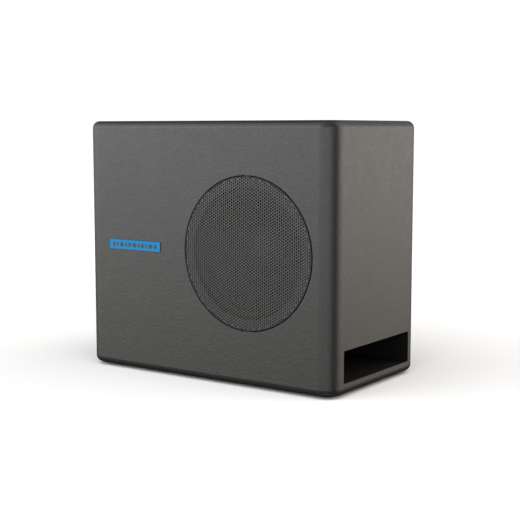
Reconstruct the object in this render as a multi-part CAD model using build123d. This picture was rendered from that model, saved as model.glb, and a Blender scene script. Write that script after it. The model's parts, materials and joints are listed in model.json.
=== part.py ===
from build123d import *
import os
from math import asin, cos, radians, sin, tan

# A powered car subwoofer: a wrapped board cabinet with a slot port in its right side, a woofer
# behind a round perforated grille, and an amplifier in a sunken tray in its back.
# Frame: X runs to the right along the front, the front faces -Y, Z is up, and the origin is on the
# surface that the feet stand on, under the middle of the cabinet. Millimetres.

# ---- Cabinet ----
box_width = 417.0
box_depth = 226.0
box_height = 350.0
upright_radius = 23.0        # rounding of the four upright edges
level_radius = 10.0          # rounding round the top and the base
wrap = 0.8                   # vinyl covering
wall = 15.0                  # top, base, side and shelf boards
face = 25.0                  # front and rear boards
port_height = 42.7
port_length = 330.0
axis_rise = 1.5              # woofer, badge and amplifier sit this far above mid height
foot_radius = 12.0
foot_height = 3.0
foot_inset = 38.0            # foot axis to the cabinet's sides
foot_sink = 2.6              # depth of the sink for the foot's screw head
foot_chamfer = 0.6

# ---- Badge and grille ----
badge_width = 94.5
badge_height = 14.5
badge_thickness = 0.8
badge_corner = 1.0
hole_radius = 103.0          # grille hole in the front board
side_margin = 31.5           # grille hole to the right side
grille_gap = 1.6             # round the mesh
mesh_proud = 0.3             # mesh in front of the cabinet's face
mesh_thickness = 1.0
hoop_width = 16.0            # hoop behind the mesh
hoop_thickness = 2.5
skirt_thickness = 3.5
skirt_inset = 0.5            # hoop's skirt inside the woofer's trim
lug_count = 8                # legs that grip the hole's wall
lug_width = 9.0
lug_length = 5.0             # below the hoop
lug_thickness = 2.5
lug_root = 1.0               # lug's overlap with the hoop

# ---- Woofer ----
frame_gap = 1.5              # woofer frame in the grille hole
flange_depth = 13.0          # flange's front face behind the cabinet's front
sheet = 1.5                  # pressed steel of the frame
gasket = 1.5
cutout_gap = 1.0
flange_width = 11.5
screw_circle_inset = 4.5     # screw circle inside the frame's edge
roll_radius = 6.2            # surround's half roll
surround_thickness = 0.9
surround_clear = 1.4         # between the roll and the frame's wall
land_width = 5.5             # glued rim of the surround on the frame
trim_thickness = 2.0
trim_gap = 0.3               # round the roll and the cone's rim
cone_rim = 6.0
cone_thickness = 0.8
cone_depth = 37.0
cone_neck = 1.3              # the neck's depth along the coil, in cone thicknesses
coil_radius = 25.2           # outside of the former
former_thickness = 0.4
winding_thickness = 1.0
winding_length = 16.0
former_rise = 3.0            # former in front of the cone's neck
coil_gap = 0.5
pole_gap = 0.6
cap_radius = 34.0
cap_height = 12.0
cap_thickness = 0.8
wall_end = 22.0              # depth where the frame starts to taper
shelf_depth = 62.0           # depth of the spider's shelf
shelf_radius = 57.0
neck_radius = 50.0
base_depth = 80.0            # depth of the frame's base
base_bore = 28.0
bend_ease = 0.5              # deeper bend on the frame's outside
window_front = 5.0           # windows between the spokes, from the frame's wall
window_back = 2.0            # and from the spider's shelf
spider_thickness = 0.6
spider_wave = 1.5
spider_land = 5.0
spider_waves = 5
spoke_count = 6
spoke_width_deg = 16.0
top_plate_radius = 50.0
top_plate_thickness = 6.0
magnet_radius = 57.5
magnet_bore = 31.0
magnet_thickness = 20.0
yoke_radius = 52.0
yoke_thickness = 6.0
vent_radius = 8.0
woofer_screw_count = 8
bracket_reach = 11.0
bracket_width = 22.0
strip_thickness = 2.5
tab_width = 5.0
tab_thickness = 0.8
tab_spread = 6.0             # tabs above and below the middle of the strip
tab_length = 18.0
tab_gap = 3.0                # tabs clear of the frame's shelf
strip_gap = 0.5
lead_radius = 1.5
tinsel_radius = 0.8

# ---- Screws: shank radius, head radius, head height ----
wood_screw = (2.0, 3.8, 2.4)
small_screw = (1.5, 2.75, 2.0)
slot_width = 0.8
slot_depth = 0.8
woofer_screw_length = 12.0
tray_screw_length = 18.0
foot_screw_length = 11.0
board_screw_length = 7.0
screw_clear = 0.3            # round a shank in sheet metal
sink_clear = 0.4             # round a screw's head in its sink
past = 1.0                   # how far a cut runs past a face

# ---- Amplifier ----
tray_width = 270.0
tray_height = 170.0
tray_corner = 6.0
tray_gap = 1.0               # round the tray in its recess
tray_sheet = 2.5
pocket_corner = 4.0
pocket_margin = 15.0         # pocket's wall inside the tray's edge
pocket_depth = 14.0
tray_setback = 6.8           # tray's rim below the back face
cover_sheet = 1.2
cover_gap = 0.3
cover_corner = 3.0
cutout_corner = 2.0
cover_reach = 70.0           # cover's end below the back face
cutout_clear = 1.0
sink_height = 62.0
sink_base = 4.0
fin_height = 13.0
fin_thickness = 2.0
fin_count = 17
sink_side_gap = 6.0
sink_top_gap = 4.0
pillar_height = 8.0
pillar_radius = 4.0
pillar_foot = 0.5            # pillar's overlap with the tray's floor
pillar_x = 98.0
pillar_z = 51.0
board_width = 210.0
board_height = 116.0
board_thickness = 1.6

# ---- Controls and sockets in the tray: X and height from the tray's middle ----
level_at = (-92.0, -18.0)
crossover_at = (-62.0, -18.0)
phase_at = (-34.0, -18.0)
lamp_at = (-12.0, -18.0)
phono_at = ((-82.0, -47.0), (-62.0, -47.0))
remote_at = (-37.0, -47.0)
speaker_at = (-6.0, -47.0)
knob_radius = 8.0
knob_height = 12.0
knob_gap = 1.0               # under the knob
shaft_radius = 3.0
running_gap = 0.05
shaft_in_body = 3.0
shaft_in_knob = 9.0
shaft_clear = 0.5            # round the shaft in the tray
bore_end = 0.2               # free depth behind a shaft's end
knob_chamfer = 1.0
pointer_width = 1.2
pointer_depth = 0.8
pointer_start = 2.0          # pointer groove from the knob's middle
flute_stop = 2.5             # flutes end above the knob's foot
pot_size = 13.0
pot_height = 6.0
flute_count = 16
flute_radius = 1.0
slider_size = 3.0
slider_travel = 3.2
slider_gap = 0.3
slider_reach = 3.5
switch_width = 14.0
switch_height = 8.0
switch_gap = 0.4             # under the tray's floor
lamp_radius = 1.5
lamp_reach = 2.0
phono_radius = 4.15
phono_bore = 3.3
phono_length = 10.0
phono_collar = 6.0
phono_collar_thickness = 1.5
phono_pin_bore = 1.65
core_sink = 1.0              # insulator below the shell's mouth
core_end = 2.0               # pin bore's end below the tray's face
remote_width = 13.0
remote_height = 14.0
remote_wall = 1.5
remote_reach = 2.0
remote_socket_depth = 9.5
speaker_width = 26.0
speaker_height = 14.0
speaker_wall = 2.0
speaker_reach = 11.0
speaker_pins = 4
speaker_pin_pitch = 5.0
speaker_pin_size = 1.2
speaker_pin_reach = 4.5
power_width = 80.0
power_height = 22.0
power_right = 112.0          # block's outer end from the tray's middle
power_at_z = -49.0
power_reach = 14.0
clamp_count = 3
clamp_pitch = 18.0
clamp_first = 14.0           # first clamp from the block's outer end
clamp_size = 12.0
clamp_bore = 2.2
wire_entry = 2.8
clamp_cap = 2.0              # plastic in front of the clamps
clamp_short = 1.0            # clamp's length less than its width
head_sink = 1.5              # set screws' heads below the block's top
fuse_from_end = 12.0         # fuse from the block's inner end
fuse_width = 5.0
fuse_height = 18.4
fuse_body = 8.0
fuse_proud = 1.8
fuse_gap = 0.4
blade_width = 5.2
blade_thickness = 0.8
blade_length = 6.0
blade_spread = 6.4
blade_gap = 0.3
capacitor_count = 4
capacitor_radius = 8.0
capacitor_length = 30.0
capacitor_pitch = 20.0
capacitor_at = (26.0, -25.0)
capacitor_edge = 1.0
coil_outer = 17.0
coil_inner = 8.0
coil_height = 15.0
coil_edge = 4.0
coil_at = (62.0, 22.0)
transistor_count = 5
transistor_pitch = 36.0
transistor_size = (10.0, 15.0, 4.5)
leg_pitch = 2.54
leg_size = 0.8
leg_inset = 1.5              # legs above the body's lower end
leg_root = 0.5
transistor_z = 30.0
lead_at = (-60.0, 0.0)
lead_spread = 2.5
grommet_radius = 8.0
grommet_groove = 6.5
grommet_lip = 1.5

# ---- Places worked out from the sizes ----
bottom = foot_height
top = foot_height + box_height
axis_z = bottom + box_height / 2 + axis_rise
woofer_x = box_width / 2 - side_margin - hole_radius
badge_x = (woofer_x - hole_radius - box_width / 2) / 2
frame_radius = hole_radius - frame_gap
seat_depth = flange_depth + sheet + gasket
wall_radius = frame_radius - flange_width
cutout_radius = wall_radius + sheet + cutout_gap
screw_circle = frame_radius - screw_circle_inset
roll_middle = wall_radius - surround_thickness - surround_clear - roll_radius
land_outer = roll_middle + roll_radius + land_width
cone_radius = roll_middle - roll_radius + surround_thickness - trim_gap
neck_depth = flange_depth + cone_depth
plate_depth = base_depth + sheet
magnet_depth = plate_depth + top_plate_thickness
yoke_depth = magnet_depth + magnet_thickness
winding_start = plate_depth + top_plate_thickness / 2 - winding_length / 2
floor_depth = tray_setback + pocket_depth       # outer face of the pocket's floor, from the back
floor_inner = floor_depth + tray_sheet
board_depth = floor_inner + pillar_height       # circuit board's outer face, from the back
board_back = board_depth + board_thickness
flange_inner = tray_setback + tray_sheet        # inner face of the tray's rim
tray_seat = flange_inner + cover_sheet + gasket
pocket_width = tray_width - 2 * pocket_margin
pocket_height = tray_height - 2 * pocket_margin
cover_width = pocket_width + 2 * (cover_gap + cover_sheet)
cover_height = pocket_height + 2 * (cover_gap + cover_sheet)


def front(depth):
    """Y of the plane this far behind the cabinet's front face."""
    return depth - box_depth / 2


def rear(depth):
    """Y of the plane this far inside the cabinet's back face."""
    return box_depth / 2 - depth


def block(x0, x1, y0, y1, z0, z1):
    """Box between two corners."""
    middle = Pos((x0 + x1) / 2, (y0 + y1) / 2, (z0 + z1) / 2)
    return middle * Box(abs(x1 - x0), abs(y1 - y0), abs(z1 - z0))


def rod(x, z, radius, y0, y1):
    """Cylinder along Y."""
    return Pos(x, (y0 + y1) / 2, z) * Rot(90, 0, 0) * Cylinder(radius, abs(y1 - y0))


def slab(x, z, width, height, corner, y0, y1):
    """Rounded rectangle in XZ, as thick as y0 to y1."""
    outline = extrude(RectangleRounded(width, height, corner), abs(y1 - y0))
    return Pos(x, max(y0, y1), z) * Rot(90, 0, 0) * outline


def on_tray(at, width, height, depth0, depth1):
    """Box centred on a place in the tray, between two distances from the back face."""
    x, z = at[0], axis_z + at[1]
    return block(x - width / 2, x + width / 2, rear(depth0), rear(depth1), z - height / 2, z + height / 2)


def tray_rod(at, radius, depth0, depth1):
    """Cylinder along Y on a place in the tray."""
    return rod(at[0], axis_z + at[1], radius, rear(depth0), rear(depth1))


def turned(*corners):
    """Solid turned about the woofer's axis from (radius, depth) corners."""
    outline = make_face(Polyline(*corners, close=True))
    return Pos(woofer_x, front(0), axis_z) * revolve(outline, Axis.Y)


def ring(inner, outer, depth0, depth1):
    """Flat ring on the woofer's axis."""
    return turned((inner, depth0), (outer, depth0), (outer, depth1), (inner, depth1))


def about_woofer(count, start_deg=0.0):
    """Placements that turn a piece on +X of the woofer's axis round to count even places."""
    for i in range(count):
        turn = Rot(0, start_deg + 360 * i / count, 0)
        yield Pos(woofer_x, front(0), axis_z) * turn


def screw(sizes, length):
    """Pan-head screw standing on its shank's tip side: head above Z 0, shank below, cross recess."""
    shank, head, height = sizes
    body = Pos(0, 0, -length / 2) * Cylinder(shank, length)
    cap = Pos(0, 0, height / 2) * Cylinder(head, height)
    cap = fillet(cap.edges().filter_by(GeomType.CIRCLE).sort_by(Axis.Z)[-1], height * 0.45)
    for turn in (0, 90):
        cap -= Pos(0, 0, height) * Rot(0, 0, turn) * Box(head * 1.1, head * 0.28, height * 0.9)
    return body + cap


def group(solids):
    """Separate solids as one node."""
    return Compound(children=list(solids))


def cabinet_form(inset):
    """The cabinet's outer form, moved in by inset on every side."""
    form = Box(box_width - 2 * inset, box_depth - 2 * inset, box_height - 2 * inset)
    form = fillet(form.edges().filter_by(Axis.Z), upright_radius - inset)
    by_height = form.faces().sort_by(Axis.Z)
    form = fillet(by_height[0].edges() + by_height[-1].edges(), level_radius - inset)
    return Pos(0, 0, bottom + box_height / 2) * form


half_width, half_depth = box_width / 2, box_depth / 2
inner_front, inner_rear = front(wrap + face), rear(wrap + face)
floor_top = bottom + wrap + wall
port_top = floor_top + port_height
shelf_top = port_top + wall
ceiling = top - wrap - wall
shelf_end = half_width - wrap - port_length


def foot_places():
    for x in (-1, 1):
        for y in (-1, 1):
            yield Pos(x * (half_width - foot_inset), y * (half_depth - foot_inset), 0)


def foot_screw_set():
    """Screws that hold the feet, heads downward in the feet's sinks."""
    for place in foot_places():
        yield place * Pos(0, 0, foot_sink) * Rot(180, 0, 0) * screw(wood_screw, foot_screw_length)


def feet():
    """Rubber feet with a sink for the screw's head."""
    shank, head, _ = wood_screw
    foot = Pos(0, 0, foot_height / 2) * Cylinder(foot_radius, foot_height)
    foot = chamfer(foot.edges().filter_by(GeomType.CIRCLE).sort_by(Axis.Z)[0], foot_chamfer)
    foot -= Pos(0, 0, foot_sink / 2) * Cylinder(head + sink_clear, foot_sink)
    foot -= Cylinder(shank, 4 * foot_height)
    return group(place * foot for place in foot_places())


def foot_bores():
    """Pilot holes for the feet's screws."""
    for place in foot_places():
        yield place * Pos(0, 0, foot_height) * Cylinder(wood_screw[0], 2 * foot_screw_length)


def woofer_screw_places():
    for place in about_woofer(woofer_screw_count, 180 / woofer_screw_count):
        yield place * Pos(screw_circle, flange_depth, 0) * Rot(90, 0, 0)


def woofer_bores(radius):
    for place in woofer_screw_places():
        yield place * Cylinder(radius, 4 * woofer_screw_length)


def tray_screw_places():
    x = (tray_width - pocket_margin + cutout_clear) / 2
    z = (tray_height - pocket_margin + cutout_clear) / 2
    for sx, sz in ((-1, -1), (0, -1), (1, -1), (-1, 0), (1, 0), (-1, 1), (0, 1), (1, 1)):
        yield Pos(sx * x, rear(tray_setback), axis_z + sz * z) * Rot(-90, 0, 0)


def tray_bores(radius):
    for place in tray_screw_places():
        yield place * Cylinder(radius, 2 * tray_screw_length)


def cover_cutout(y0, y1):
    """Opening for the amplifier's cover, through the rear board and the gasket."""
    width, height = cover_width + 2 * cutout_clear, cover_height + 2 * cutout_clear
    return slab(0, axis_z, width, height, cutout_corner, y0, y1)


def cabinet():
    """Boards and the vinyl over them."""
    outer, core = cabinet_form(0), cabinet_form(wrap)
    far = box_width + box_depth + box_height
    grille_hole = rod(woofer_x, axis_z, hole_radius, front(-past), front(seat_depth))
    recess_width, recess_height = tray_width + 2 * tray_gap, tray_height + 2 * tray_gap
    recess_corner = tray_corner + tray_gap
    recess = slab(0, axis_z, recess_width, recess_height, recess_corner, rear(-past), rear(tray_seat))
    mouth = block(0, far, inner_front, inner_rear, floor_top, port_top)
    bores = list(foot_bores())

    front_board = core & block(-far, far, -far, inner_front, 0, far)
    front_board -= grille_hole + rod(woofer_x, axis_z, cutout_radius, front(0), inner_front)
    front_board -= list(woofer_bores(wood_screw[0]))
    rear_board = core & block(-far, far, inner_rear, far, 0, far)
    rear_board -= recess + cover_cutout(inner_rear, rear(0))
    rear_board -= list(tray_bores(wood_screw[0]))

    middle = core & block(-far, far, inner_front, inner_rear, 0, far)
    side = half_width - wrap - wall
    return {
        "front_board": front_board,
        "rear_board": rear_board,
        "base_board": (middle & block(-far, far, -far, far, 0, floor_top)) - bores,
        "top_board": middle & block(-far, far, -far, far, ceiling, far),
        "left_board": middle & block(-far, -side, -far, far, floor_top, ceiling),
        "right_board": middle & block(side, far, -far, far, shelf_top, ceiling),
        "port_shelf": block(shelf_end, half_width - wrap, inner_front, inner_rear, port_top, shelf_top),
        "vinyl_wrap": outer - core - grille_hole - recess - mouth - bores,
        "rubber_feet": feet(),
        "foot_screws": group(foot_screw_set()),
        "badge_plate": slab(
            badge_x, axis_z, badge_width, badge_height, badge_corner, front(0), front(-badge_thickness)
        ),
    }


def grille():
    """Mesh disc on a hoop that rests on the woofer's trim and grips the hole with its lugs."""
    mesh_back = mesh_thickness - mesh_proud
    hoop_back = mesh_back + hoop_thickness
    trim_front = flange_depth - surround_thickness - trim_thickness
    edge = hole_radius - grille_gap
    skirt_outer = land_outer - skirt_inset
    hoop = ring(hole_radius - hoop_width, edge, mesh_back, hoop_back)
    hoop += ring(skirt_outer - skirt_thickness, skirt_outer, hoop_back, trim_front)
    far, half = hole_radius + past, lug_width / 2
    lug = block(edge - lug_thickness, far, hoop_back - lug_root, hoop_back + lug_length, -half, half)
    hole = rod(woofer_x, axis_z, hole_radius, front(0), front(seat_depth))
    hoop += [place * lug & hole for place in about_woofer(lug_count)]
    return {"grille_mesh": ring(0, edge, -mesh_proud, mesh_back), "grille_hoop": hoop}


def half_roll():
    """Surround: a half roll between a rim glued to the frame and a rim glued to the cone."""
    back, front_face = flange_depth, flange_depth - surround_thickness
    inside, outside = roll_radius - surround_thickness, roll_radius
    rise = (outside**2 - surround_thickness**2) ** 0.5
    outline = [
        Line((cone_radius - cone_rim, back), (cone_radius - cone_rim, front_face)),
        Line((cone_radius - cone_rim, front_face), (roll_middle - rise, front_face)),
        ThreePointArc(
            (roll_middle - rise, front_face), (roll_middle, back - outside), (roll_middle + rise, front_face)
        ),
        Line((roll_middle + rise, front_face), (land_outer, front_face)),
        Line((land_outer, front_face), (land_outer, back)),
        Line((land_outer, back), (roll_middle + inside, back)),
        ThreePointArc(
            (roll_middle + inside, back), (roll_middle, back - inside), (roll_middle - inside, back)
        ),
        Line((roll_middle - inside, back), (cone_radius - cone_rim, back)),
    ]
    return Pos(woofer_x, front(0), axis_z) * revolve(make_face(outline), Axis.Y)


def cone_depth_at(radius):
    """Depth of the cone's front surface at a radius."""
    start = cone_radius - cone_rim
    return flange_depth + cone_depth * (start - radius) / (start - coil_radius)


def dust_cap():
    """Shallow dome of even thickness, glued on the cone's front: two arcs about one centre."""
    rim = cone_depth_at(cap_radius)
    crown = rim - cap_height
    outside = (cap_radius**2 + cap_height**2) / (2 * cap_height)
    inside = outside - cap_thickness
    centre = crown + outside
    inner_rim = (inside**2 - (centre - rim) ** 2) ** 0.5

    def arc(radius, start, end):
        half = asin((start + end) / radius) / 2
        return ThreePointArc(
            (start, centre - (radius**2 - start**2) ** 0.5),
            (radius * sin(half), centre - radius * cos(half)),
            (end, centre - (radius**2 - end**2) ** 0.5),
        )

    outline = [
        Line((0, crown + cap_thickness), (0, crown)),
        arc(outside, 0, cap_radius),
        Line((cap_radius, rim), (inner_rim, rim)),
        arc(inside, inner_rim, 0),
    ]
    return Pos(woofer_x, front(0), axis_z) * revolve(make_face(outline), Axis.Y)


def spider():
    """Corrugated cloth disc from the coil's former to the frame's shelf."""
    rest = shelf_depth - spider_thickness / 2
    start, end = coil_radius + spider_land, neck_radius - former_thickness
    steps = 2 * spider_waves
    middle = [(coil_radius, rest), (start, rest)]
    for i in range(1, steps):
        radius = start + (end - start) * i / steps
        middle.append((radius, rest - spider_wave * (1 if i % 2 else -1)))
    middle += [(end, rest), (shelf_radius - strip_gap, rest)]
    half = spider_thickness / 2
    return turned(*[(r, d - half) for r, d in middle], *[(r, d + half) for r, d in reversed(middle)])


def basket():
    """Pressed steel frame with spokes, and the bracket that carries the terminals."""
    body = turned(
        (frame_radius, flange_depth),
        (wall_radius, flange_depth),
        (wall_radius, wall_end),
        (shelf_radius, shelf_depth),
        (neck_radius, shelf_depth),
        (neck_radius, base_depth),
        (base_bore, base_depth),
        (base_bore, base_depth + sheet),
        (neck_radius + sheet, base_depth + sheet),
        (neck_radius + sheet, shelf_depth + sheet),
        (shelf_radius + sheet, shelf_depth + sheet),
        (wall_radius + sheet, wall_end + bend_ease),
        (wall_radius + sheet, flange_depth + sheet),
        (frame_radius, flange_depth + sheet),
    )
    half = radians((360 / spoke_count - spoke_width_deg) / 2)
    reach = 2 * frame_radius
    window_start, window_end = wall_end + window_front, shelf_depth - window_back
    corners = [(0, 0), (reach * cos(half), reach * sin(half)), (reach * cos(half), -reach * sin(half))]
    wedge = extrude(make_face(Polyline(*corners, close=True)), window_end - window_start)
    wedge = Pos(0, window_end, 0) * Rot(90, 0, 0) * wedge
    body -= [place * wedge for place in about_woofer(spoke_count, 180)]
    body += bracket_block(shelf_radius - sheet, bracket_reach + sheet, bracket_width, shelf_depth, sheet)
    return body - list(woofer_bores(wood_screw[0] + screw_clear))


def bracket_block(start, length, width, depth, thickness, z=0.0):
    """Box on the left of the woofer's axis, from a radius outward."""
    x = woofer_x - start
    y = front(depth)
    return block(x - length, x, y, y + thickness, axis_z + z - width / 2, axis_z + z + width / 2)


strip_depth = shelf_depth + sheet
tab_start = shelf_radius + tab_gap
tab_end = tab_start + tab_length


def lead(points, radius):
    """Round lead along straight runs joined by arcs as large as the runs allow."""
    runs = [Vector(b) - Vector(a) for a, b in zip(points, points[1:])]
    radii = []
    for before, after in zip(runs, runs[1:]):
        half_turn = radians(before.get_angle(after)) / 2
        radii.append(0.45 * min(before.length, after.length) / tan(half_turn))
    print("lead of radius", radius, "bends", [round(r, 1) for r in radii])
    path = FilletPolyline(*points, radius=radii)
    start = Plane(origin=path @ 0, z_dir=path % 0)
    return sweep(start * Circle(radius), path=path)


def speaker_lead(side):
    """Lead from the circuit board through the grommet to a terminal tab; side is 1 up, -1 down."""
    x, z = lead_at[0], axis_z + lead_at[1]
    tab_x, tab_y = woofer_x - tab_end, front(strip_depth + strip_thickness + tab_thickness / 2)
    start_y, turn_y = rear(board_back), rear(cover_reach) - 16.0
    points = [
        (x, start_y, z + side * lead_spread),
        (x, turn_y, z + side * lead_spread),
        (x + 5, turn_y - 28, z + side * (lead_spread + 0.5)),
        (tab_x - 37, tab_y + 20, z + side * (lead_spread + 2)),
        (tab_x - 18, tab_y, axis_z + side * tab_spread),
        (tab_x, tab_y, axis_z + side * tab_spread),
    ]
    return lead(points, lead_radius)


def tinsel(side):
    """Flexible lead from the terminal strip to the back of the cone."""
    z = axis_z + side * tab_spread
    foot = shelf_radius + 6
    end = cap_radius + 8
    clear = 1.6
    points = [
        (woofer_x - foot, front(shelf_depth), z),
        (woofer_x - foot, front(shelf_depth - 12), z),
        (woofer_x - foot + 9, front(shelf_depth - 19), z),
        (woofer_x - end, front(cone_depth_at(end) + cone_thickness + clear), z),
    ]
    return lead(points, tinsel_radius)


def woofer():
    neck_back = neck_depth + cone_neck * cone_thickness
    rim_back = flange_depth + cone_thickness
    rim_inner = cone_radius - cone_rim
    former_inner = coil_radius - former_thickness
    former_start = neck_depth - former_rise
    winding_outer = coil_radius + winding_thickness
    yoke_back = yoke_depth + yoke_thickness
    pole_radius = former_inner - pole_gap
    terminals = [
        bracket_block(tab_start, tab_length, tab_width, strip_depth + strip_thickness, tab_thickness, z)
        for z in (-tab_spread, tab_spread)
    ]
    return {
        "woofer_frame": basket(),
        "woofer_gasket": ring(cutout_radius, frame_radius, flange_depth + sheet, seat_depth)
        - list(woofer_bores(wood_screw[0])),
        "woofer_screws": group(
            place * screw(wood_screw, woofer_screw_length) for place in woofer_screw_places()
        ),
        "surround": half_roll(),
        "surround_trim": ring(
            roll_middle + roll_radius + trim_gap,
            land_outer,
            flange_depth - surround_thickness - trim_thickness,
            flange_depth - surround_thickness,
        ),
        "cone": turned(
            (cone_radius, flange_depth),
            (rim_inner, flange_depth),
            (coil_radius, neck_depth),
            (coil_radius, neck_back),
            (rim_inner - trim_gap, rim_back),
            (cone_radius, rim_back),
        ),
        "dust_cap": dust_cap(),
        "spider": spider(),
        "coil_former": ring(former_inner, coil_radius, former_start, winding_start + winding_length),
        "coil_winding": ring(coil_radius, winding_outer, winding_start, winding_start + winding_length),
        "top_plate": ring(winding_outer + coil_gap, top_plate_radius, plate_depth, magnet_depth),
        "magnet": ring(magnet_bore, magnet_radius, magnet_depth, yoke_depth),
        "yoke": turned(
            (vent_radius, plate_depth),
            (pole_radius, plate_depth),
            (pole_radius, yoke_depth),
            (yoke_radius, yoke_depth),
            (yoke_radius, yoke_back),
            (vent_radius, yoke_back),
        ),
        "terminal_strip": bracket_block(
            shelf_radius + strip_gap,
            bracket_reach,
            bracket_width - 2 * strip_gap,
            strip_depth,
            strip_thickness,
        ),
        "terminal_tabs": group(terminals),
        "tinsel_leads": group(tinsel(side) for side in (-1, 1)),
        "lead_red": speaker_lead(1),
        "lead_black": speaker_lead(-1),
    }


def tray():
    """Sunken tray with its rim, pillars for the circuit board, and holes for controls and sockets."""
    rim = slab(0, axis_z, tray_width, tray_height, tray_corner, rear(tray_setback), rear(flange_inner))
    shell = slab(0, axis_z, pocket_width, pocket_height, pocket_corner, rear(tray_setback), rear(floor_inner))
    inside = slab(
        0,
        axis_z,
        pocket_width - 2 * tray_sheet,
        pocket_height - 2 * tray_sheet,
        pocket_corner - tray_sheet / 2,
        rear(tray_setback - past),
        rear(floor_depth),
    )
    body = rim + shell - inside
    cut_from, cut_to = floor_depth - past, floor_inner + past
    for sx in (-1, 1):
        for sz in (-1, 1):
            at = (sx * pillar_x, sz * pillar_z)
            body += tray_rod(at, pillar_radius, floor_inner - pillar_foot, board_depth)
            body -= tray_rod(at, small_screw[0], board_depth - board_screw_length, board_depth)
    for at in (level_at, crossover_at):
        body -= tray_rod(at, shaft_radius + shaft_clear, cut_from, cut_to)
    body -= phase_channel(cut_from, cut_to)
    body -= tray_rod(lamp_at, lamp_radius, cut_from, cut_to)
    for at in phono_at:
        body -= tray_rod(at, phono_bore, cut_from, cut_to)
    body -= on_tray(remote_at, remote_width, remote_height, cut_from, cut_to)
    window = (speaker_pins - 1) * speaker_pin_pitch + 4 * speaker_pin_size
    body -= on_tray(speaker_at, window, 4 * speaker_pin_size, cut_from, cut_to)
    return body - list(tray_bores(wood_screw[0] + screw_clear))


def phase_middle():
    """Middle of the phase slider's slot; the slider rests at its -X end."""
    return (phase_at[0] + slider_travel / 2, phase_at[1])


def phase_channel(depth0, depth1):
    """Clearance for the phase slider over its travel."""
    width, height = slider_size + slider_travel + 2 * slider_gap, slider_size + 2 * slider_gap
    return on_tray(phase_middle(), width, height, depth0, depth1)


def amp_cover():
    """Pressed steel box behind the tray, with a rim under the tray's rim."""
    rim = slab(
        0, axis_z, tray_width, tray_height, tray_corner, rear(flange_inner), rear(flange_inner + cover_sheet)
    )
    outer = slab(0, axis_z, cover_width, cover_height, cover_corner, rear(flange_inner), rear(cover_reach))
    inner = slab(
        0,
        axis_z,
        cover_width - 2 * cover_sheet,
        cover_height - 2 * cover_sheet,
        pocket_corner - tray_sheet / 2,
        rear(0),
        rear(cover_reach - cover_sheet),
    )
    body = rim + outer - inner - list(tray_bores(wood_screw[0] + screw_clear))
    return body - tray_rod(lead_at, grommet_groove, cover_reach - cover_sheet - past, cover_reach + past)


def grommet():
    """Rubber bush in the cover's end, with a bore for each speaker lead."""
    start, end = cover_reach - cover_sheet - grommet_lip, cover_reach + grommet_lip
    body = tray_rod(lead_at, grommet_groove, start, end)
    body += tray_rod(lead_at, grommet_radius, start, cover_reach - cover_sheet)
    body += tray_rod(lead_at, grommet_radius, cover_reach, end)
    for side in (-1, 1):
        at = (lead_at[0], lead_at[1] + side * lead_spread)
        body -= tray_rod(at, lead_radius, start - past, end + past)
    return body


def heatsink():
    """Finned bar on the tray's floor, with upright fins."""
    width = pocket_width - 2 * tray_sheet - 2 * sink_side_gap
    ceiling_z = axis_z + pocket_height / 2 - tray_sheet - sink_top_gap
    low = ceiling_z - sink_height
    body = block(-width / 2, width / 2, rear(floor_depth), rear(floor_depth - sink_base), low, ceiling_z)
    pitch = (width - fin_thickness) / (fin_count - 1)
    for i in range(fin_count):
        x = -width / 2 + i * pitch
        tip = floor_depth - sink_base - fin_height
        body += block(x, x + fin_thickness, rear(floor_depth - sink_base), rear(tip), low, ceiling_z)
    return body


def circuit():
    """Circuit board and what stands on it."""
    board = on_tray((0, 0), board_width, board_height, board_depth, board_back)
    screws = []
    for sx in (-1, 1):
        for sz in (-1, 1):
            at = (sx * pillar_x, sz * pillar_z)
            board -= tray_rod(at, small_screw[0], board_depth - past, board_back + past)
            place = Pos(at[0], rear(board_back), axis_z + at[1]) * Rot(90, 0, 0)
            screws.append(place * screw(small_screw, board_screw_length))
    cans = []
    for i in range(capacitor_count):
        at = (capacitor_at[0] + i * capacitor_pitch, capacitor_at[1])
        can = tray_rod(at, capacitor_radius, board_back, board_back + capacitor_length)
        cans.append(fillet(can.edges().filter_by(GeomType.CIRCLE), capacitor_edge))
    coil = tray_rod(coil_at, coil_outer, board_back, board_back + coil_height)
    coil = fillet(coil.edges().filter_by(GeomType.CIRCLE), coil_edge)
    coil -= tray_rod(coil_at, coil_inner, board_back - past, board_back + coil_height + past)
    width, height, thickness = transistor_size
    devices = []
    for i in range(transistor_count):
        x = (i - (transistor_count - 1) / 2) * transistor_pitch
        device = on_tray((x, transistor_z), width, height, floor_inner, floor_inner + thickness)
        for leg in (-leg_pitch, 0, leg_pitch):
            at = (x + leg, transistor_z - height / 2 + leg_inset)
            device += on_tray(at, leg_size, leg_size, floor_inner + thickness - leg_root, board_depth)
        devices.append(device)
    return {
        "circuit_board": board,
        "board_screws": group(screws),
        "capacitors": group(cans),
        "choke_coil": coil,
        "power_transistors": group(devices),
    }


def knob(at):
    """Fluted knob with a pointer groove, bored for its shaft."""
    low = floor_depth - knob_gap
    high = low - knob_height
    body = tray_rod(at, knob_radius, high, low)
    rim = body.edges().filter_by(GeomType.CIRCLE).sort_by(Axis.Y)[-1]
    body = chamfer(rim, knob_chamfer)
    x, z = at[0], axis_z + at[1]
    for i in range(flute_count):
        angle = radians(360 * (i + 0.5) / flute_count)
        flute_x, flute_z = x + knob_radius * cos(angle), z + knob_radius * sin(angle)
        body -= rod(flute_x, flute_z, flute_radius, rear(high - past), rear(low - flute_stop))
    half = pointer_width / 2
    top_y, groove_y = rear(high - past), rear(high + pointer_depth)
    body -= block(x - half, x + half, top_y, groove_y, z + pointer_start, z + knob_radius + past)
    return body - tray_rod(at, shaft_radius, low - shaft_in_knob, low + past)


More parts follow.
